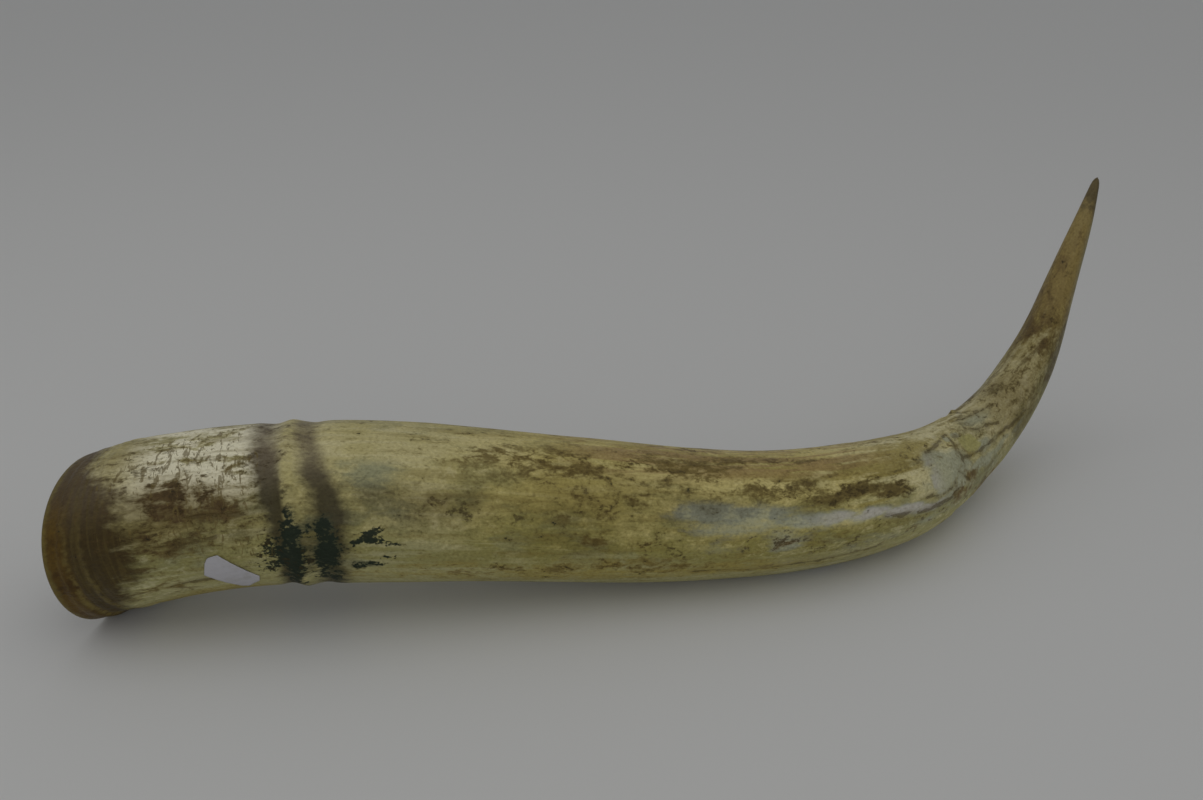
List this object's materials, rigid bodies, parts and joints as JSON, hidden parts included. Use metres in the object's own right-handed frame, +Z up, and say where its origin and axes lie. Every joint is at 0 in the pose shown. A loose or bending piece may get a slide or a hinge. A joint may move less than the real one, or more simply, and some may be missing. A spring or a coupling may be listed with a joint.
{
  "type": "cow horn",
  "caption": "Large curved cattle horn lying on its side, hollow and open at the base, solid towards the rising point, with a blank paper sticker.",
  "frame": {"origin": "centre of the overall box at the ground the horn lies on", "axes": "+X from the open base towards the point, +Y away from the viewer of the picture, +Z up"},
  "size_m": [0.8105, 0.3824, 0.225],
  "materials": {
    "horn_keratin": "semi-gloss natural keratin, cream to olive with brown base, dark stained ring and golden brown point",
    "label_paper": "matt white paper"
  },
  "bodies": {
    "root": {"horn": "horn_keratin", "paper_label": "label_paper"}
  },
  "joints": []
}
